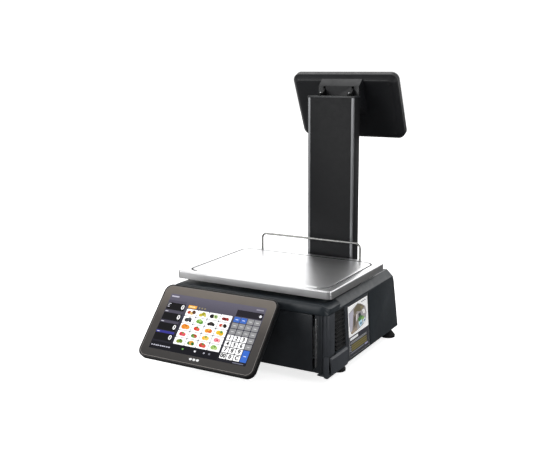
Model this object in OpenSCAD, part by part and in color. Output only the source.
// Counter-top price scale with label printer, operator touch display and
// pole-mounted customer display.
// Millimetres, +Z up. The origin is on the counter plane, straight below the
// centre of the weighing pan. The operator stands at -Y, the customer at +Y.

/* [Weighing pan] */
// Width of the pan, left to right
pan_w = 380; // [340:1:400]
// Depth of the pan, front to back
pan_d = 285; // [260:1:300]
// Height of the pan's top face above the counter
pan_top_z = 190; // [188:1:194]
// Height of the turned-down rim
pan_rim_h = 17; // [14:1:18]
// Corner radius of the pan
pan_corner_r = 10; // [6:1:20]
// Thickness of the pan's sheet
pan_sheet = 1.5; // [1.2:0.1:2]
// Inset of the pressed bead from the pan's edge
bead_inset = 22; // [15:1:30]
// Height of the guard rail above the pan
rail_h = 42; // [30:1:60]
// Half of the distance between the guard rail's legs
rail_half_w = 131; // [100:1:150]
// Radius of the guard rail's wire
rail_r = 2.5; // [2:0.1:4]

/* [Base housing] */
// Half width of the housing at its lower edge
body_hw_low = 197.5; // [195:0.5:200]
// Half width of the housing at its shoulder
body_hw_shoulder = 190; // [186:0.5:192]
// Front wall plane
body_front_y = -158; // [-160:0.5:-156]
// Rear wall at the lower edge
body_rear_y = 216; // [210:1:220]
// Lower edge of the housing above the counter
body_low_z = 20; // [18:1:22]
// Top face of the housing
body_top_z = 163; // [160:1:164]
// Wall thickness of the housing
wall = 3; // [2.5:0.1:4]
// Left-right position of the front feet
foot_front_x = 175; // [165:1:178]
// Left-right position of the rear feet
foot_rear_x = 185; // [170:1:186]
// Front-back position of the front feet
foot_front_y = -74; // [-84:1:-66]
// Front-back position of the rear feet
foot_rear_y = 184; // [170:1:188]
// Radius of a foot's rubber pad
foot_r = 17; // [12:0.5:17]

/* [Pole] */
// Left-right centre of the pole
pole_x = 44.75; // [40:0.25:50]
// Width of the pole
pole_w = 118; // [105:0.5:120]
// Front face of the pole
pole_y = 152.5; // [151:0.5:158]
// Depth of the pole
pole_d = 33; // [28:1:34]
// Top of the pole above the counter
pole_top_z = 566; // [480:1:600]

/* [Operator display] */
// Width of the operator display
op_w = 280; // [260:1:290]
// Height of the operator display along its face
op_h = 171; // [160:1:175]
// Left-right centre of the operator display
op_x = -38.5; // [-45:0.5:-30]
// Lean of the operator display from the vertical
op_lean = 42.5; // [38:0.5:46]
// Depth of the operator display's casing
op_depth = 24; // [22:1:26]

/* [Customer display] */
// Width of the customer display
cu_w = 271; // [255:1:285]
// Height of the customer display along its face
cu_h = 167; // [155:1:175]
// Lean of the customer display from the vertical
cu_lean = 24.5; // [18:0.5:26]
// Depth of the customer display's casing
cu_depth = 26; // [24:1:28]

/* [Label printer] */
// Radius of the paper roll
roll_r = 45; // [30:1:48]
// Width of the label web
web_w = 60; // [40:1:62]
// Radius of the platen roller
platen_r = 8; // [7:0.5:9]
// Teeth on the platen gear
platen_teeth = 36; // [30:1:36]
// Teeth on the motor pinion
pinion_teeth = 12; // [10:1:14]

/* [Hidden] */
$fn = 64;

// small gaps
gap = 0.3;
running = 0.05;
far = 600;

// housing form
body_corner_r = 20;
shoulder_z = 146;
body_top_hw = 178;
rear_shoulder_y = 201;
rear_shoulder_z = 136;
rear_top_y = 188.5;
side_draft = atan((body_hw_low - body_hw_shoulder) / (shoulder_z - body_low_z));
brow_low_z = 143;
brow_top_z = 165;
brow_proud = 5;
brow_side = 2.5;
brow_end_y = -98;
panel_t = 2.5;
panel_front_y = body_front_y - panel_t;
panel_low_z = 20.5;
panel_high_z = brow_low_z - gap;
panel_left_x = -178;
slit_x = 158;
slit_w = 5.2;
jamb_right_x = 180;
groove_x = 173;
groove_w = 3;
groove_d = 1.2;
peel_x = slit_x + slit_w + 2;
peel_w = 4;
peel_proud = 2.6;
peel_low_z = 33;
peel_high_z = 136;
pillar_x = 183;
pillar_rear_y = -126;
pillar_t = 3.5;
pillar_out_x = 192;
pillar_proud = 1;
pillar_depth = 200;
pillar_r = 14;
bumper_low_z = 12;
bumper_top_z = 58;
bumper_rear_y = -76;
bumper_x = 201;
bumper_y = -168;

// printer door, in the frame of the leaning side wall
door_front_y = -120.5;
door_hinge_y = 47;
door_hinge_x = -3.1;
door_barrel_r = 3.1;
door_low = 4;
door_high = 122;
door_grip_low = 39;
door_t = 3;
door_gap = 0.6;
grip_depth = 8;
rib_count = 9;
rib_t = 3.4;
hinge_pin_r = 1.5;
hinge_tab_x = 183;
hinge_tab_hw = 5;
hinge_tab_t = 3;
hinge_pin_l = 10.5;

// pan support and load cell
pan_rim_z = pan_top_z - pan_rim_h;
pan_under_z = pan_top_z - pan_sheet;
spider_z = 166;
spider_t = 6;
spider_arm_x = 150;
spider_arm_y = 105;
cell_l = 130;
cell_w = 30;
cell_h = 26;
cell_z = 96;
cell_end_x = 50;
post_r = 13;
stop_gap = 0.8;
travel_gap = 0.7;
stop_x = 110;

// pole top and customer hinge
cap_t = 4;
strip_w = 6.5;
strip_d = 4;
cu_x = pole_x - 1.5;
cu_front_y = 234.3;
cu_front_z = 620.7;
cu_axis_y = 203;
cu_axis_z = 578;
lug_half_x = 36.5;
lug_t = 5;
block_hw = 52;
block_y = 195;
block_low_z = 545;
block_high_z = 588;
block_top_z = 604;
block_tip_z = 521;
block_seat = 0.05;
display_pin_r = 3;

// operator hinge, in the frame of the operator display
op_front_y = -192.5;
op_front_z = 173.6;
op_pin_back = 32;
op_pin_drop = 18;
op_axis_y = op_front_y + op_pin_back * cos(op_lean) - op_pin_drop * sin(op_lean);
op_axis_z = op_front_z - op_pin_back * sin(op_lean) - op_pin_drop * cos(op_lean);
barrel_r = 6.5;
barrel_half = 21.5;
ear_w = 14;

// display build-up, measured back from the front face
bezel_depth = 8;
glass_inset = 3;
glass_front = 0.3;
glass_back = 2.1;
seat_depth = 2.2;
screen_w = 236;
screen_h = 128;
screen_top = 22;
display_corner_r = 18;
display_chamfer = 11;

// printer layout
roll_x = 125;
roll_y = -8;
web_z = 52;
platen_x = slit_x + slit_w / 2 + platen_r + 0.4;
platen_y = -134;
gear_module = 1;
gear_z = 41;
gear_t = 5;
pinion_angle = 84;
mesh_distance = gear_module * (platen_teeth + pinion_teeth) / 2;
pinion_x = platen_x + mesh_distance * cos(pinion_angle);
pinion_y = platen_y + mesh_distance * sin(pinion_angle);
chassis_low_z = 48;
chassis_high_z = 115;
chassis_t = 3;
head_pivot_x = 138;
head_pivot_y = -108;
stub_h = 25;
spool_x = 96;
spool_y = -112;

// tray, its bosses, posts and feet
tray_w = 382;
tray_d = 358;
tray_y = 25;
tray_r = 14;
tray_t = 5;
tray_top_z = body_low_z + tray_t;
tray_rib_h = 4;
tray_rib_t = 6;
foot_boss_r = 6.5;
foot_boss_top_z = 42;
foot_pad_h = 5;
foot_dome_h = 9;
foot_dome_r = 10;
foot_stud_r = 4;
foot_stud_low_z = 12;
foot_stud_top_z = 36;
post_places = [[-170, -128], [-170, 132], [168, 128], [72, -142]];
post_out_r = 5;
post_bore_r = 2.05;
screw_r = 2;
screw_head_r = 4;
screw_head_h = 2.4;
screw_l = 14;

// housing openings
opening_left_x = -170;
opening_low_z = 32;
opening_high_z = 138;
door_recess = 9;
vent_count = 12;
vent_pitch = 12;
vent_w = 5;
vent_y = -90;
vent_low_z = 60;
vent_high_z = 100;
vial_x = -130;
vial_y = 160;
vial_r = 8.8;

// pole socket
socket_t = 3;
socket_flange = 14;
socket_low_z = tray_top_z + 4.1;
socket_flange_top_z = tray_top_z + 7;
socket_top_z = 120;
cable_x = pole_x - 3;
cable_r = 2.6;

// operator arm
arm_plate_hw = 45;
arm_plate_t = 4;
arm_plate_low_z = 108;
arm_hole_hw = 10;
arm_hole_low_z = 113;
arm_hole_high_z = 123;

// boards and supply
board_low_z = 36;
board_t = 1.6;
supply_top_z = 68;
supply_vents = 8;

// rear connector recess
io_x0 = -153;
io_x1 = -27;
io_z0 = 40;
io_z1 = 92;
io_back_y = 186;
io_t = 2.5;
inlet_x = -128;
inlet_z = 66;
rocker_x = -92;
rocker_pin_depth = 3;
lan_x = -66;
usb_x = -44;

// ---------- shared shapes ----------

module rounded_rect(w, h, r) {
  union() {
    square([w - 2 * r, h], center = true);
    square([w, h - 2 * r], center = true);
    for (sx = [-1, 1], sy = [-1, 1])
      translate([sx * (w / 2 - r), sy * (h / 2 - r)])
        circle(r);
  }
}

// children are drawn in X and Z and run from y0 to y1
module slab(y0, y1) {
  translate([0, y1, 0])
    rotate([90, 0, 0])
      linear_extrude(height = y1 - y0)
        children();
}

// children are drawn in Y and Z and run from x0 to x1
module rail(x0, x1) {
  translate([x0, 0, 0])
    rotate([90, 0, 90])
      linear_extrude(height = x1 - x0)
        children();
}

module box(x0, x1, y0, y1, z0, z1) {
  translate([x0, y0, z0])
    cube([x1 - x0, y1 - y0, z1 - z0]);
}

module rod_x(x0, x1, r) {
  translate([x0, 0, 0])
    rotate([0, 90, 0])
      cylinder(h = x1 - x0, r = r);
}

module rod_y(y0, y1, r) {
  translate([0, y1, 0])
    rotate([90, 0, 0])
      cylinder(h = y1 - y0, r = r);
}

module rod_z(z0, z1, r) {
  translate([0, 0, z0])
    cylinder(h = z1 - z0, r = r);
}

module ring_z(z0, z1, r_out, r_in) {
  difference() {
    rod_z(z0, z1, r_out);
    rod_z(z0 - 1, z1 + 1, r_in);
  }
}

// the housing's solid form, inset on every side but the lower one
module body_form(inset, low_z) {
  hw_low = body_hw_low - inset;
  hw_sh = body_hw_shoulder - inset;
  hw_top = body_top_hw - inset / 2;
  y_front = body_front_y + inset;
  drop = (body_low_z - low_z) * tan(side_draft);
  rear_slope = (body_rear_y - rear_shoulder_y) / (rear_shoulder_z - body_low_z);
  intersection() {
    slab(body_front_y - 20, body_rear_y + 20)
      polygon([
        [-hw_low - drop, low_z], [hw_low + drop, low_z],
        [hw_sh, shoulder_z], [hw_top, body_top_z - inset],
        [-hw_top, body_top_z - inset], [-hw_sh, shoulder_z]
      ]);
    rail(-body_hw_low - 20, body_hw_low + 20)
      polygon([
        [y_front, low_z],
        [body_rear_y - inset + (body_low_z - low_z) * rear_slope, low_z],
        [rear_shoulder_y - inset, rear_shoulder_z],
        [rear_top_y - inset / 2, body_top_z - inset],
        [y_front, body_top_z - inset]
      ]);
    // front corners, rounded along the leaning side walls
    for (side = [0, 1])
      mirror([side, 0, 0])
        side_frame()
          union() {
            box(-far, -body_corner_r, body_front_y - far, far, -far, far);
            box(-far, far, body_front_y + body_corner_r, far, -far, far);
            translate([-body_corner_r, body_front_y + body_corner_r, 0])
              rod_z(-far, far, body_corner_r - inset);
          }
  }
}

// frame of the leaning right side wall: x = 0 on the wall, z up along it
module side_frame() {
  translate([body_hw_low, 0, body_low_z])
    rotate([0, -side_draft, 0])
      children();
}

// frame of the operator display: front face at y = 0, top edge at z = 0
module operator_frame() {
  translate([op_x, op_front_y, op_front_z])
    rotate([-op_lean, 0, 0])
      children();
}

// frame of the customer display, turned to face the customer
module customer_frame() {
  translate([cu_x, cu_front_y, cu_front_z])
    rotate([cu_lean, 0, 0])
      rotate([0, 0, 180])
        children();
}

module display_outline(w, h, inset) {
  translate([0, -h / 2])
    rounded_rect(w - 2 * inset, h - 2 * inset, display_corner_r - inset);
}

module display_bezel(w, h) {
  difference() {
    slab(0, bezel_depth)
      display_outline(w, h, 0);
    slab(-1, seat_depth)
      display_outline(w, h, glass_inset);
    slab(seat_depth - 1, bezel_depth + 1)
      translate([0, -screen_top - screen_h / 2])
        square([screen_w + 12, screen_h + 12], center = true);
  }
}

module display_glass(w, h) {
  slab(glass_front, glass_back)
    display_outline(w, h, glass_inset + gap);
}

module display_screen() {
  slab(seat_depth + 0.2, bezel_depth + 1.5)
    translate([0, -screen_top - screen_h / 2])
      square([screen_w + 8, screen_h + 8], center = true);
}

// chamfered tub that closes the back of a display
module display_tub(w, h, depth, inset) {
  c = display_chamfer;
  hw = w / 2 - inset;
  top = -inset;
  low = -h + inset;
  back = depth - inset;
  intersection() {
    slab(bezel_depth, back)
      display_outline(w, h, inset);
    rail(-hw, hw)
      polygon([
        [bezel_depth, low], [bezel_depth, top], [back - c, top],
        [back, top - c], [back, low + c], [back - c, low]
      ]);
    translate([0, 0, low])
      linear_extrude(height = top - low)
        polygon([
          [-hw, bezel_depth], [hw, bezel_depth], [hw, back - c],
          [hw - c, back], [-hw + c, back], [-hw, back - c]
        ]);
  }
}

module display_rear(w, h, depth) {
  difference() {
    display_tub(w, h, depth, 0);
    translate([0, -0.01, 0])
      display_tub(w, h, depth, 2.5);
    for (sx = [-1, 1], z = [-13, -h + 13])
      translate([sx * (w / 2 - 15), 0, z])
        rod_y(depth - 6, depth + 1, 3.2);
    for (i = [-5:5])
      translate([i * 9 - 1.25, depth - 4, -h + 32])
        cube([2.5, 6, 22]);
  }
}

module display_board(w) {
  union() {
    slab(bezel_depth + 4, bezel_depth + 5.6)
      translate([0, -screen_top - screen_h / 2])
        square([w, 90], center = true);
    for (x = [-60, 0, 45])
      slab(bezel_depth + 5.5, bezel_depth + 9)
        translate([x, -screen_top - screen_h / 2 + 12])
          square([22, 22], center = true);
  }
}

// involute gear outline
function involute(base_r, t) = [
  base_r * (cos(t) + t * PI / 180 * sin(t)),
  base_r * (sin(t) - t * PI / 180 * cos(t))
];
function turn(p, a) = [p[0] * cos(a) - p[1] * sin(a), p[0] * sin(a) + p[1] * cos(a)];
function flank_angle(base_r, r) = sqrt(max(0, pow(r / base_r, 2) - 1)) * 180 / PI;
function polar(base_r, r) = flank_angle(base_r, r) - atan(flank_angle(base_r, r) * PI / 180);

module gear_outline(teeth) {
  pitch_r = gear_module * teeth / 2;
  base_r = pitch_r * cos(20);
  tip_r = pitch_r + 0.8 * gear_module;
  root_r = pitch_r - 1.15 * gear_module;
  start_r = max(base_r, root_r);
  half = 90 / teeth + polar(base_r, pitch_r) - 2.2 / pitch_r;
  steps = 4;
  radii = [for (i = [0:steps]) start_r + (tip_r - start_r) * i / steps];
  points = [for (k = [0:teeth - 1]) for (p = concat(
    [turn([root_r, 0], -half)],
    [for (r = radii) turn(involute(base_r, flank_angle(base_r, r)), -half)],
    [for (i = [steps:-1:0])
      turn([involute(base_r, flank_angle(base_r, radii[i]))[0],
        -involute(base_r, flank_angle(base_r, radii[i]))[1]], half)],
    [turn([root_r, 0], half)]
  )) turn(p, 360 * k / teeth)];
  polygon(points);
}

// ---------- base ----------

module foot_places() {
  for (sx = [-1, 1], p = [[foot_front_x, foot_front_y], [foot_rear_x, foot_rear_y]])
    translate([sx * p[0], p[1], 0])
      children();
}

module base_tray() {
  color("dimgray")
    difference() {
      union() {
        translate([0, tray_y, body_low_z])
          linear_extrude(height = tray_t)
            rounded_rect(tray_w, tray_d, tray_r);
        foot_places()
          rod_z(body_low_z, foot_boss_top_z, foot_boss_r);
        for (rib = [[-110, 55], [150, 160]])
          box(-160, rib[1], rib[0] - tray_rib_t / 2, rib[0] + tray_rib_t / 2, tray_top_z - 0.1,
            tray_top_z + tray_rib_h);
      }
      foot_places()
        rod_z(body_low_z - 1, foot_boss_top_z + 1, foot_stud_r + running);
      for (p = post_places)
        translate([p[0], p[1], 0])
          rod_z(body_low_z - 1, tray_top_z + 1, screw_r + gap);
      // notch for the door's lower hinge tab
      box(hinge_tab_x, far, door_hinge_y - 7, door_hinge_y + 7, 0, far);
    }
}

// raised band across the top of the front and round its corners
module brow() {
  intersection() {
    translate([0, (body_front_y + body_rear_y) / 2, brow_low_z])
      linear_extrude(height = brow_top_z - brow_low_z)
        rounded_rect(2 * (body_hw_shoulder + brow_side),
          body_rear_y - body_front_y + 2 * brow_proud, body_corner_r + brow_side);
    rail(-far, far)
      polygon([
        [body_front_y - 2, brow_low_z], [body_front_y - brow_proud, brow_low_z + 3],
        [body_front_y - brow_proud, brow_top_z - 8], [body_front_y - 1, brow_top_z],
        [body_front_y + 12, brow_top_z], [body_front_y + 40, body_top_z],
        [brow_end_y, body_top_z], [brow_end_y - 8, brow_low_z]
      ]);
    slab(-far, far)
      polygon([
        [-body_hw_shoulder + 1, brow_low_z], [body_hw_shoulder - 1, brow_low_z],
        [body_hw_shoulder + brow_side, brow_low_z + 3],
        [body_hw_shoulder + brow_side, brow_top_z - 9],
        [body_top_hw, brow_top_z], [-body_top_hw, brow_top_z],
        [-body_hw_shoulder - brow_side, brow_top_z - 9],
        [-body_hw_shoulder - brow_side, brow_low_z + 3]
      ]);
  }
}

module upper_housing() {
  color("#2b2d30")
    difference() {
      union() {
        difference() {
          union() {
            body_form(0, body_low_z);
            brow();
          }
          body_form(wall, body_low_z - 5);
        }
        for (p = post_places)
          translate([p[0], p[1], 0])
            rod_z(tray_top_z, body_top_z - 1, post_out_r);
      }
      // front opening, behind the front panel and round the corner pillar
      box(opening_left_x, slit_x - 8, -far, body_front_y + wall + 0.5, opening_low_z,
        opening_high_z);
      box(slit_x - 9, far, -far, body_front_y + wall + 0.5, body_low_z + 4, brow_low_z);
      // pillar and door openings in the side wall
      box(body_top_hw - 6, far, -far, pillar_rear_y, body_low_z + 4, brow_low_z);
      side_frame() {
        box(-door_recess, far, pillar_rear_y - 4, bumper_rear_y - gap, door_grip_low - door_gap,
          door_high + door_gap);
        box(-door_recess, far, bumper_rear_y - gap - 1, door_hinge_y + door_barrel_r + door_gap,
          door_low - door_gap, door_high + door_gap);
      }
      // pole, load post and rear recess
      box(pole_x - pole_w / 2 - gap, pole_x + pole_w / 2 + gap, pole_y - gap, pole_y + pole_d + gap,
        130, far);
      translate([cell_end_x, 0, 0])
        rod_z(130, far, post_r + 4);
      box(io_x0 - gap, io_x1 + gap, io_back_y - 10, far, io_z0 - gap, io_z1 + gap);
      translate([vial_x, vial_y, 0])
        rod_z(body_top_z - 6, far, vial_r + 0.2);
      for (p = post_places)
        translate([p[0], p[1], 0])
          rod_z(tray_top_z - 1, tray_top_z + screw_l + 2, post_bore_r);
      for (i = [0:vent_count - 1])
        box(-far, -jamb_right_x, vent_y + i * vent_pitch, vent_y + i * vent_pitch + vent_w,
          vent_low_z, vent_high_z);
    }
}

module front_panel() {
  color("#1b1c1e")
    difference() {
      box(panel_left_x, slit_x, panel_front_y, body_front_y, panel_low_z, panel_high_z);
      box(op_x - arm_hole_hw - 2, op_x + arm_hole_hw + 2, -far, far, arm_hole_low_z - 1,
        arm_hole_high_z + 1);
    }
}

module slit_jamb() {
  color("#2b2d30")
    union() {
      difference() {
        box(slit_x + slit_w, jamb_right_x, panel_front_y, body_front_y, panel_low_z,
          panel_high_z);
        box(groove_x, groove_x + groove_w, -far, panel_front_y + groove_d, 0, far);
      }
      box(slit_x + slit_w, slit_x + slit_w + 2, body_front_y - 0.1, body_front_y + 3,
        body_low_z + 5, panel_high_z - 4);
    }
}

module peel_bar() {
  color("silver")
    difference() {
      box(peel_x, peel_x + peel_w, panel_front_y - peel_proud, panel_front_y, peel_low_z,
        peel_high_z);
      translate([peel_x + peel_w, panel_front_y - peel_proud, 0])
        rotate([0, 0, 45])
          box(-1, 1, -1, 1, 0, far);
    }
}

// upright outer form of the corner post
module pillar_form(inset) {
  translate([0, body_front_y - pillar_proud + pillar_depth / 2, 0])
    linear_extrude(height = far)
      rounded_rect(2 * (pillar_out_x - inset), pillar_depth - 2 * inset, pillar_r - inset);
}

module corner_pillar() {
  color("#34373a")
    difference() {
      union() {
        intersection() {
          pillar_form(0);
          box(pillar_x, far, -far, pillar_rear_y, body_low_z + 5, brow_low_z - gap);
        }
        box(jamb_right_x - 5, pillar_x + 4, body_front_y + 0.1, body_front_y + 2.6,
          body_low_z + 5, brow_low_z - gap);
      }
      intersection() {
        pillar_form(pillar_t);
        box(pillar_x - 20, far, body_front_y + 2.4, 0, 0, far);
      }
    }
}

module corner_bumper() {
  color("#34373a")
    difference() {
      union() {
        intersection() {
          translate([0, 0, bumper_low_z])
            linear_extrude(height = bumper_top_z - bumper_low_z)
              difference() {
                rounded_rect(2 * bumper_x, -2 * bumper_y, 24);
                square([374, 400], center = true);
              }
          box(187, far, -far, bumper_rear_y, 0, far);
          slab(-far, far)
            polygon([
              [187, bumper_low_z + 3], [bumper_x - 8, bumper_low_z], [bumper_x, bumper_low_z + 8],
              [bumper_x - 1, bumper_top_z - 6], [bumper_x - 6, bumper_top_z], [187, bumper_top_z]
            ]);
          rail(-far, far)
            polygon([
              [bumper_y, bumper_low_z], [bumper_rear_y - 16, bumper_low_z],
              [bumper_rear_y, body_low_z + 4], [bumper_rear_y, bumper_top_z],
              [bumper_y, bumper_top_z]
            ]);
        }
        intersection() {
          translate([0, 0, bumper_low_z])
            linear_extrude(height = panel_low_z - bumper_low_z - gap)
              rounded_rect(2 * bumper_x - 4, -2 * bumper_y - 4, 24);
          slab(-far, body_front_y + 6)
            polygon([
              [172, body_low_z - 2], [184, bumper_low_z + 4.5], [190, bumper_low_z + 2],
              [190, bumper_top_z], [172, bumper_top_z]
            ]);
        }
      }
      body_form(-1.2, body_low_z - 0.2);
    }
}

module rear_io_plate() {
  color("#232528")
    difference() {
      intersection() {
        box(io_x0, io_x1, io_back_y - io_t, far, io_z0, io_z1);
        body_form(-0.5, body_low_z - 1);
      }
      box(io_x0 + io_t, io_x1 - io_t, io_back_y, far, io_z0 + io_t, io_z1 - io_t);
      box(inlet_x - 14.2, inlet_x + 14.2, 0, far, inlet_z - 10.2, inlet_z + 10.2);
      box(rocker_x - 11.2, rocker_x + 11.2, 0, far, inlet_z - 8.2, inlet_z + 8.2);
      box(lan_x - 8.2, lan_x + 8.2, 0, far, inlet_z - 7.2, inlet_z + 7.2);
      box(usb_x - 7.7, usb_x + 7.7, 0, far, inlet_z - 8.2, inlet_z + 8.2);
    }
}

module mains_inlet() {
  color("black")
    union() {
      difference() {
        union() {
          box(inlet_x - 14, inlet_x + 14, io_back_y - 18, io_back_y - 0.1, inlet_z - 10,
            inlet_z + 10);
          box(inlet_x - 17, inlet_x + 17, io_back_y, io_back_y + 2, inlet_z - 12.5,
            inlet_z + 12.5);
          box(inlet_x - 13.9, inlet_x + 13.9, io_back_y - 0.2, io_back_y + 1, inlet_z - 9.9,
            inlet_z + 9.9);
        }
        box(inlet_x - 12, inlet_x + 12, io_back_y - 15, io_back_y + 5, inlet_z - 8, inlet_z + 8);
      }
      for (p = [[-7, -1], [7, -1], [0, 3]])
        box(inlet_x + p[0] - 1, inlet_x + p[0] + 1, io_back_y - 15.2, io_back_y - 2,
          inlet_z + p[1] - 2, inlet_z + p[1] + 2);
    }
}

module io_sockets() {
  color("silver")
    union() {
      difference() {
        box(lan_x - 8, lan_x + 8, io_back_y - 14, io_back_y + 0.5, inlet_z - 7, inlet_z + 7);
        box(lan_x - 6.2, lan_x + 6.2, io_back_y - 12, io_back_y + 2, inlet_z - 4.6, inlet_z + 4.6);
      }
      difference() {
        box(usb_x - 7.5, usb_x + 7.5, io_back_y - 14, io_back_y + 0.5, inlet_z - 8, inlet_z + 8);
        for (z = [-4, 4])
          box(usb_x - 6.4, usb_x + 6.4, io_back_y - 12, io_back_y + 2, inlet_z + z - 3,
            inlet_z + z - 0.6);
      }
    }
}

module power_rocker() {
  color("black")
    translate([0, io_back_y, inlet_z])
      union() {
        rail(rocker_x - 10, rocker_x + 10)
          polygon([[-2, -7], [1.5, -7], [0.6, 0], [3.2, 7], [-2, 7]]);
        rail(rocker_x - 4, rocker_x + 4)
          polygon([[-8, -1.5], [-1.9, -3], [-1.9, 3], [-8, 1.5]]);
        translate([rocker_x, -rocker_pin_depth, 0])
          rod_x(-10.8, 10.8, 1.2);
      }
}

module housing_screws() {
  color("silver")
    for (p = post_places)
      translate([p[0], p[1], 0])
        union() {
          rod_z(body_low_z - screw_head_h, body_low_z, screw_head_r);
          rod_z(body_low_z - 0.1, tray_top_z + screw_l, screw_r);
        }
}

module foot() {
  union() {
    rod_z(0, foot_pad_h, foot_r);
    translate([0, 0, foot_pad_h - 0.01])
      cylinder(h = foot_dome_h, r1 = foot_r, r2 = foot_dome_r);
    rod_z(foot_stud_low_z, foot_stud_top_z, foot_stud_r);
  }
}

module foot_front_left() {
  color("#151515")
    translate([-foot_front_x, foot_front_y, 0])
      foot();
}

module foot_front_right() {
  color("#151515")
    translate([foot_front_x, foot_front_y, 0])
      foot();
}

module foot_rear_left() {
  color("#151515")
    translate([-foot_rear_x, foot_rear_y, 0])
      foot();
}

module foot_rear_right() {
  color("#151515")
    translate([foot_rear_x, foot_rear_y, 0])
      foot();
}

// ---------- pole ----------

pole_x0 = pole_x - pole_w / 2;
pole_x1 = pole_x + pole_w / 2;
pole_y1 = pole_y + pole_d;
pole_low_z = 34;

module pole_column() {
  color("#2d2e31")
    difference() {
      box(pole_x0, pole_x1, pole_y, pole_y1, pole_low_z, pole_top_z - cap_t);
      box(pole_x0 + 8, pole_x1 - 8, pole_y + 3, pole_y1 - 3, 0, far);
      for (x = [pole_x0 - 1, pole_x1 - strip_w])
        box(x, x + strip_w + 1, pole_y - 1, pole_y + strip_d, 0, far);
    }
}

module pole_edge_strips() {
  color("silver")
    for (side = [0, 1])
      translate([pole_x, 0, 0])
        mirror([side, 0, 0])
          translate([pole_w / 2, 0, body_top_z - 8])
            linear_extrude(height = pole_top_z - cap_t - body_top_z + 8)
              union() {
                translate([-strip_w + 0.1, pole_y + 2])
                  square([strip_w - 0.1, strip_d - 2.1]);
                translate([-strip_w + 0.1, pole_y])
                  square([strip_w - 2.1, strip_d]);
                translate([-2, pole_y + 2])
                  circle(2);
              }
}

module pole_cap() {
  color("#232528")
    difference() {
      union() {
        box(pole_x0 - 0.8, pole_x1 + 0.8, pole_y - 0.8, pole_y1 + 0.8, pole_top_z - cap_t,
          pole_top_z);
        box(pole_x0 + 8.4, pole_x1 - 8.4, pole_y + 3.4, pole_y1 - 3.4, pole_top_z - cap_t - 10,
          pole_top_z - 1);
      }
      translate([pole_x, pole_y + pole_d / 2, 0])
        rod_z(pole_top_z - 20, pole_top_z + 5, 6);
    }
}

module pole_socket() {
  color("slategray")
    difference() {
      union() {
        box(pole_x0 - socket_t, pole_x1 + socket_t, pole_y - socket_t, pole_y1 + socket_t,
          socket_low_z, socket_top_z);
        box(pole_x0 - socket_flange, pole_x1 + socket_flange, pole_y - socket_t - 1,
          pole_y1 + socket_t + 1, socket_low_z, socket_flange_top_z);
      }
      box(pole_x0 - 0.2, pole_x1 + 0.2, pole_y - 0.2, pole_y1 + 0.2, pole_low_z, far);
      box(pole_x0 + 12, pole_x1 - 12, pole_y + 5, pole_y1 - 5, 0, far);
    }
}

module pole_cable() {
  color("black")
    translate([cable_x, pole_y + pole_d / 2, 0])
      rod_z(tray_top_z + 2, pole_top_z - 2, cable_r);
}

module pole_hinge_lugs() {
  color("silver")
    for (side = [-1, 1])
      translate([pole_x + side * lug_half_x, 0, 0])
        difference() {
          rail(-lug_t / 2, lug_t / 2)
            difference() {
              union() {
                polygon([
                  [168, pole_top_z], [pole_y1, pole_top_z], [cu_axis_y + 4, cu_axis_z - 7],
                  [cu_axis_y + 2, cu_axis_z + 7.5], [cu_axis_y - 6, cu_axis_z + 5],
                  [pole_y1 - 6, pole_top_z + 6], [168, pole_top_z + 6]
                ]);
                translate([cu_axis_y, cu_axis_z])
                  circle(8);
              }
              translate([cu_axis_y, cu_axis_z])
                circle(display_pin_r + running);
            }
        }
}

// ---------- operator display ----------

module operator_arm() {
  color("#232528")
    difference() {
      union() {
        box(op_x - arm_plate_hw, op_x + arm_plate_hw, panel_front_y - arm_plate_t, panel_front_y,
          arm_plate_low_z, panel_high_z - 1);
        translate([op_x, 0, 0])
          rail(-barrel_half, barrel_half)
            polygon([
              [panel_front_y - arm_plate_t + 0.1, arm_plate_low_z + 2],
              [panel_front_y - arm_plate_t + 0.1, panel_high_z - 2],
              [op_axis_y, op_axis_z + 4], [op_axis_y - 3, op_axis_z - 4.5],
              [op_axis_y + 6, op_axis_z - 8]
            ]);
        translate([op_x, op_axis_y, op_axis_z])
          rod_x(-barrel_half, barrel_half, barrel_r);
      }
      translate([op_x, op_axis_y, op_axis_z])
        rod_x(-barrel_half - 1, barrel_half + 1, display_pin_r + running);
      box(op_x - arm_hole_hw, op_x + arm_hole_hw, panel_front_y - arm_plate_t - 1,
        panel_front_y + 1, arm_hole_low_z, arm_hole_high_z);
    }
}

module operator_bezel() {
  color("#2a2a2c")
    operator_frame()
      display_bezel(op_w, op_h);
}

module operator_glass() {
  color("#151517")
    operator_frame()
      display_glass(op_w, op_h);
}

module operator_screen() {
  color("#30303a")
    operator_frame()
      display_screen();
}

module operator_rear_cover() {
  color("#232528")
    operator_frame()
      display_rear(op_w, op_h, op_depth);
}

module operator_board() {
  color("darkgreen")
    operator_frame()
      display_board(180);
}

module operator_knuckle() {
  color("#232528")
    operator_frame()
      for (side = [-1, 1])
        translate([side * (barrel_half + 0.4 + ear_w / 2), 0, 0])
          difference() {
            rail(-ear_w / 2, ear_w / 2)
              difference() {
                union() {
                  translate([op_pin_back, -op_pin_drop])
                    circle(barrel_r);
                  polygon([
                    [op_depth, -op_pin_drop - 12], [op_pin_back + 2, -op_pin_drop - 6.1],
                    [op_pin_back + 2, -op_pin_drop + 6.1], [op_depth, -op_pin_drop + 6.5]
                  ]);
                }
                translate([op_pin_back, -op_pin_drop])
                  circle(display_pin_r + running);
              }
          }
}

module operator_hinge_pin() {
  half = barrel_half + 0.4 + ear_w - 1;
  color("silver")
    translate([op_x, op_axis_y, op_axis_z])
      rod_x(-half, half, display_pin_r);
}

// ---------- customer display ----------

module customer_bezel() {
  color("#232528")
    customer_frame()
      display_bezel(cu_w, cu_h);
}

module customer_glass() {
  color("#151517")
    customer_frame()
      display_glass(cu_w, cu_h);
}

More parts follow.
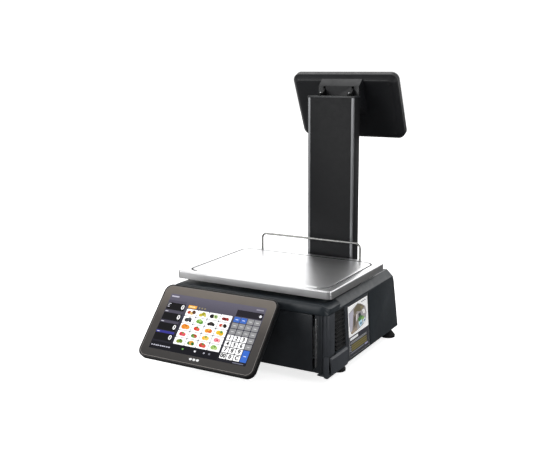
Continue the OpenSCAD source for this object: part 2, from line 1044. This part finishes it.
module customer_screen() {
  color("#30303a")
    customer_frame()
      display_screen();
}

module customer_rear_cover() {
  color("#1b1c1e")
    customer_frame()
      display_rear(cu_w, cu_h, cu_depth);
}

module customer_board() {
  color("darkgreen")
    customer_frame()
      display_board(180);
}

// back plane of the customer display, as y at a height z
function cu_back_y(z) =
  cu_front_y - cu_depth * cos(cu_lean) + (cu_front_z - cu_depth * sin(cu_lean) - z) * tan(cu_lean);

// outline of the block in Y and Z; a positive inset gives the space inside it
module hinge_block_profile(inset) {
  past = inset > 0 ? 1 : 0;
  polygon([
    [block_y + inset, block_low_z + inset], [block_y + inset, block_high_z - inset],
    [cu_back_y(block_top_z) + inset / 2 - block_seat, block_top_z - 1.5 * inset],
    [cu_back_y(block_top_z - 1.5 * inset) + past - block_seat, block_top_z - 1.5 * inset],
    [cu_back_y(block_tip_z + 1.5 * inset) + past - block_seat, block_tip_z + 1.5 * inset]
  ]);
}

module customer_hinge_block() {
  boss_w = 6;
  color("#3a3c40")
    difference() {
      union() {
        difference() {
          translate([pole_x, 0, 0])
            rail(-block_hw, block_hw)
              hinge_block_profile(0);
          translate([pole_x, 0, 0])
            rail(-block_hw + wall, block_hw - wall)
              hinge_block_profile(wall);
        }
        for (side = [-1, 1], edge = [-1, 1])
          translate([pole_x + side * lug_half_x + edge * (lug_t / 2 + 0.5 + boss_w / 2),
            cu_axis_y, cu_axis_z])
            rod_x(-boss_w / 2, boss_w / 2, 7);
      }
      for (side = [-1, 1])
        translate([pole_x + side * lug_half_x, 0, 0])
          box(-lug_t / 2 - 0.5, lug_t / 2 + 0.5, block_y - 1, cu_axis_y + 10, block_low_z + 1,
            block_high_z - 1);
      translate([pole_x, cu_axis_y, cu_axis_z])
        rod_x(-block_hw - 1, block_hw + 1, display_pin_r + running);
    }
}

module customer_hinge_pin() {
  color("silver")
    translate([pole_x, cu_axis_y, cu_axis_z])
      rod_x(-block_hw + 0.5, block_hw - 0.5, display_pin_r);
}

// ---------- weighing ----------

module load_cell() {
  color("lightgray")
    difference() {
      box(-cell_l / 2, cell_l / 2, -cell_w / 2, cell_w / 2, cell_z, cell_z + cell_h);
      for (x = [-9, 9])
        translate([x, 0, cell_z + cell_h / 2])
          rod_y(-far, far, 9);
      box(-9, 9, -far, far, cell_z + cell_h / 2 - 4, cell_z + cell_h / 2 + 4);
    }
}

module load_cell_block() {
  color("slategray")
    union() {
      box(-cell_l / 2, -cell_l / 2 + 36, -cell_w / 2, cell_w / 2, tray_top_z, cell_z);
      box(-cell_l / 2 - 12, -cell_l / 2 + 48, -cell_w / 2 - 10, cell_w / 2 + 10, tray_top_z,
        tray_top_z + 5);
    }
}

module pan_spider() {
  arm_angle = atan(spider_arm_y / spider_arm_x);
  arm_l = sqrt(pow(spider_arm_x, 2) + pow(spider_arm_y, 2));
  color("darkgray")
    union() {
      for (a = [arm_angle, -arm_angle])
        rotate([0, 0, a])
          box(-arm_l, arm_l, -11, 11, spider_z, spider_z + spider_t);
      box(-40, 78, -32, 32, spider_z, spider_z + spider_t);
      for (sx = [-1, 1], sy = [-1, 1])
        translate([sx * spider_arm_x, sy * spider_arm_y, 0])
          rod_z(spider_z, pan_under_z - 6, 13);
      translate([cell_end_x, 0, 0])
        rod_z(cell_z + cell_h + travel_gap, spider_z + 1, post_r);
    }
}

module spider_pads() {
  color("#1b1b1b")
    for (sx = [-1, 1], sy = [-1, 1])
      translate([sx * spider_arm_x, sy * spider_arm_y, 0])
        rod_z(pan_under_z - 6, pan_under_z, 9);
}

module overload_stops() {
  color("silver")
    for (sx = [-1, 1], sy = [-1, 1])
      translate([sx * stop_x, sy * stop_x * spider_arm_y / spider_arm_x, 0])
        rod_z(body_top_z, spider_z - stop_gap, 5);
}

module pan_outline(inset) {
  rounded_rect(pan_w - 2 * inset, pan_d - 2 * inset, max(2, pan_corner_r - inset));
}

module weighing_pan() {
  bead_w = 3;
  bead_d = 0.6;
  bead_r = 24;
  color("gainsboro")
    difference() {
      translate([0, 0, pan_rim_z])
        linear_extrude(height = pan_rim_h)
          pan_outline(0);
      translate([0, 0, pan_rim_z - 1])
        linear_extrude(height = pan_rim_h + 1 - pan_sheet)
          pan_outline(pan_sheet);
      translate([0, 0, pan_top_z - bead_d])
        linear_extrude(height = 2)
          difference() {
            rounded_rect(pan_w - 2 * bead_inset, pan_d - 2 * bead_inset, bead_r);
            rounded_rect(pan_w - 2 * bead_inset - 2 * bead_w, pan_d - 2 * bead_inset - 2 * bead_w,
              bead_r - bead_w);
          }
      for (sx = [-1, 1])
        translate([sx * rail_half_w, pan_d / 2 - 6.5, 0])
          rod_z(pan_rim_z, pan_top_z + 1, rail_r + 0.1);
    }
}

module guard_rail() {
  bend_r = 12;
  y = pan_d / 2 - 6.5;
  top_z = pan_top_z + rail_h - rail_r;
  color("silver")
    union() {
      for (side = [0, 1])
        mirror([side, 0, 0])
          translate([rail_half_w, y, 0])
            union() {
              rod_z(pan_under_z - 8, top_z - bend_r, rail_r);
              translate([-bend_r, 0, top_z - bend_r])
                rotate([90, 0, 0])
                  rotate_extrude(angle = 90)
                    translate([bend_r, 0])
                      circle(rail_r, $fn = 32);
            }
      translate([0, y, top_z])
        rod_x(-rail_half_w + bend_r, rail_half_w - bend_r, rail_r);
    }
}

module level_vial() {
  color("khaki")
    translate([vial_x, vial_y, 0])
      union() {
        ring_z(body_top_z, body_top_z + 2, vial_r + 3.2, vial_r - 1.8);
        rod_z(body_top_z - 5, body_top_z + 1, vial_r);
      }
}

// ---------- electronics ----------

module main_board() {
  color("darkgreen")
    union() {
      box(-165, -80, -100, 70, board_low_z, board_low_z + board_t);
      // transformer, connector row and capacitor bank
      for (c = [[-150, -120, -60, -30, 12], [-105, -85, -20, 40, 8], [-160, -152, -90, 20, 10]])
        box(c[0], c[1], c[2], c[3], board_low_z + board_t - 0.1, board_low_z + c[4]);
      for (x = [-160, -85], y = [-94, 64])
        translate([x, y, 0])
          rod_z(tray_top_z, board_low_z + 0.1, 3);
    }
}

module power_supply() {
  color("silver")
    difference() {
      box(-158, -70, 84, 142, tray_top_z + 0.2, supply_top_z);
      for (i = [0:supply_vents - 1])
        box(-150 + i * 10, -146 + i * 10, 94, 132, supply_top_z - 1.5, supply_top_z + 2);
    }
}

// ---------- label printer ----------

module printer_chassis() {
  x0 = 130;
  color("slategray")
    difference() {
      union() {
        for (z = [chassis_low_z, chassis_high_z])
          box(x0, 180, -153, -94, z, z + chassis_t);
        box(x0, x0 + 2, -153, -94, tray_top_z, chassis_high_z + 1);
        translate([head_pivot_x, head_pivot_y, 0])
          rod_z(chassis_low_z + 1, chassis_high_z + 1, 3);
      }
      translate([platen_x, platen_y, 0])
        rod_z(chassis_low_z - 1, chassis_high_z + 10, 3 + running);
    }
}

module platen_roller() {
  color("#222222")
    translate([platen_x, platen_y, 0])
      union() {
        rod_z(gear_z - 2, chassis_high_z + chassis_t + 3, 3);
        rod_z(web_z, web_z + web_w, platen_r);
        translate([0, 0, gear_z])
          linear_extrude(height = gear_t)
            gear_outline(platen_teeth);
      }
}

module motor_pinion() {
  offset_angle = pinion_angle + 180;
  tooth_phase = 180 / pinion_teeth;
  color("ivory")
    translate([pinion_x, pinion_y, 0])
      difference() {
        translate([0, 0, gear_z])
          linear_extrude(height = gear_t)
            rotate([0, 0, offset_angle + tooth_phase
                - (0 - pinion_angle) * platen_teeth / pinion_teeth])
              gear_outline(pinion_teeth);
        rod_z(0, far, 1.5 + running);
      }
}

module printer_motor() {
  color("silver")
    translate([pinion_x, pinion_y, 0])
      union() {
        rod_z(tray_top_z, gear_z - 1.5, 12.5);
        rod_z(gear_z - 2, gear_z + gear_t, 1.5);
      }
}

module print_head() {
  face_x = platen_x - platen_r - 0.3;
  color("#8a8d90")
    difference() {
      union() {
        box(face_x - 3, face_x, -150, -116, web_z, web_z + web_w);
        for (i = [0:5])
          box(face_x - 10, face_x - 2.9, -149 + i * 6, -147 + i * 6, web_z + 1, web_z + web_w - 1);
        box(head_pivot_x - 0.5, face_x - 2, -119, -112.5, web_z, web_z + web_w);
        translate([head_pivot_x, head_pivot_y, 0])
          rod_z(web_z, web_z + web_w, 5.5);
      }
      translate([head_pivot_x, head_pivot_y, 0])
        rod_z(0, far, 3 + running);
    }
}

module roll_spindle() {
  color("#55585c")
    translate([roll_x, roll_y, 0])
      union() {
        rod_z(tray_top_z, tray_top_z + 4, 30);
        rod_z(tray_top_z + 3.9, web_z - 1.5, 16);
        rod_z(web_z - 2, web_z + stub_h, 12.2);
      }
}

module label_roll() {
  color("white")
    translate([roll_x, roll_y, 0])
      difference() {
        rod_z(web_z, web_z + web_w, roll_r);
        rod_z(0, far, 12.7);
      }
}

module spool_post() {
  color("#55585c")
    translate([spool_x, spool_y, 0])
      union() {
        rod_z(tray_top_z, tray_top_z + 3, 14);
        rod_z(tray_top_z + 2.9, web_z + web_w + 8, 4);
      }
}

module liner_spool() {
  color("#3f4246")
    translate([spool_x, spool_y, 0])
      difference() {
        union() {
          rod_z(web_z - 4, web_z - 2, 23);
          rod_z(web_z - 2.1, web_z + web_w + 2, 12);
        }
        rod_z(0, far, 4.1);
      }
}

// ---------- printer door ----------

module printer_door() {
  color("#34373a")
    side_frame()
      difference() {
        union() {
          translate([0, 0, door_low])
            linear_extrude(height = door_high - door_low)
              union() {
                translate([-door_t, bumper_rear_y])
                  square([door_t, door_hinge_y - bumper_rear_y]);
                translate([door_hinge_x, door_hinge_y])
                  circle(door_barrel_r);
              }
          box(-grip_depth, 0, bumper_rear_y, bumper_rear_y + door_t, door_grip_low, door_high);
          box(-grip_depth, -grip_depth + 2.5, door_front_y, bumper_rear_y + 1, door_grip_low,
            door_high);
        }
        translate([door_hinge_x, door_hinge_y, 0])
          rod_z(0, far, hinge_pin_r + running);
      }
}

module door_grip() {
  pitch = (door_high - door_grip_low - rib_t) / rib_count;
  color("#1b1c1e")
    side_frame()
      union() {
        box(-grip_depth + 2.5, -grip_depth + 4, door_front_y, bumper_rear_y - 0.1, door_grip_low,
          door_high);
        for (i = [0:rib_count])
          box(-grip_depth + 3.9, -1, door_front_y, bumper_rear_y - 0.1,
            door_grip_low + i * pitch, door_grip_low + i * pitch + rib_t);
      }
}

module door_label() {
  color("white")
    side_frame()
      box(0, 0.3, -61, 42, 5, 117);
}

module door_hinge_pins() {
  color("silver")
    side_frame()
      union() {
        for (z = [door_low - hinge_tab_t - 0.4, door_high + 0.4])
          box(-10, door_hinge_x - 0.02, door_hinge_y - hinge_tab_hw, door_hinge_y + hinge_tab_hw,
            z, z + hinge_tab_t);
        for (z = [door_low - 0.5, door_high - hinge_pin_l + 0.5])
          translate([door_hinge_x, door_hinge_y, 0])
            rod_z(z, z + hinge_pin_l, hinge_pin_r);
      }
}

base_tray();
upper_housing();
front_panel();
slit_jamb();
corner_pillar();
corner_bumper();
peel_bar();
rear_io_plate();
mains_inlet();
io_sockets();
housing_screws();
pole_column();
pole_edge_strips();
pole_cap();
pole_socket();
pole_cable();
pole_hinge_lugs();
operator_arm();
load_cell();
load_cell_block();
overload_stops();
level_vial();
main_board();
power_supply();
printer_chassis();
printer_motor();
roll_spindle();
spool_post();
door_hinge_pins();
power_rocker();
pan_spider();
spider_pads();
weighing_pan();
guard_rail();
operator_bezel();
operator_glass();
operator_screen();
operator_rear_cover();
operator_board();
operator_knuckle();
operator_hinge_pin();
customer_bezel();
customer_glass();
customer_screen();
customer_rear_cover();
customer_board();
customer_hinge_block();
customer_hinge_pin();
printer_door();
door_grip();
door_label();
label_roll();
platen_roller();
motor_pinion();
print_head();
liner_spool();
foot_front_left();
foot_front_right();
foot_rear_left();
foot_rear_right();
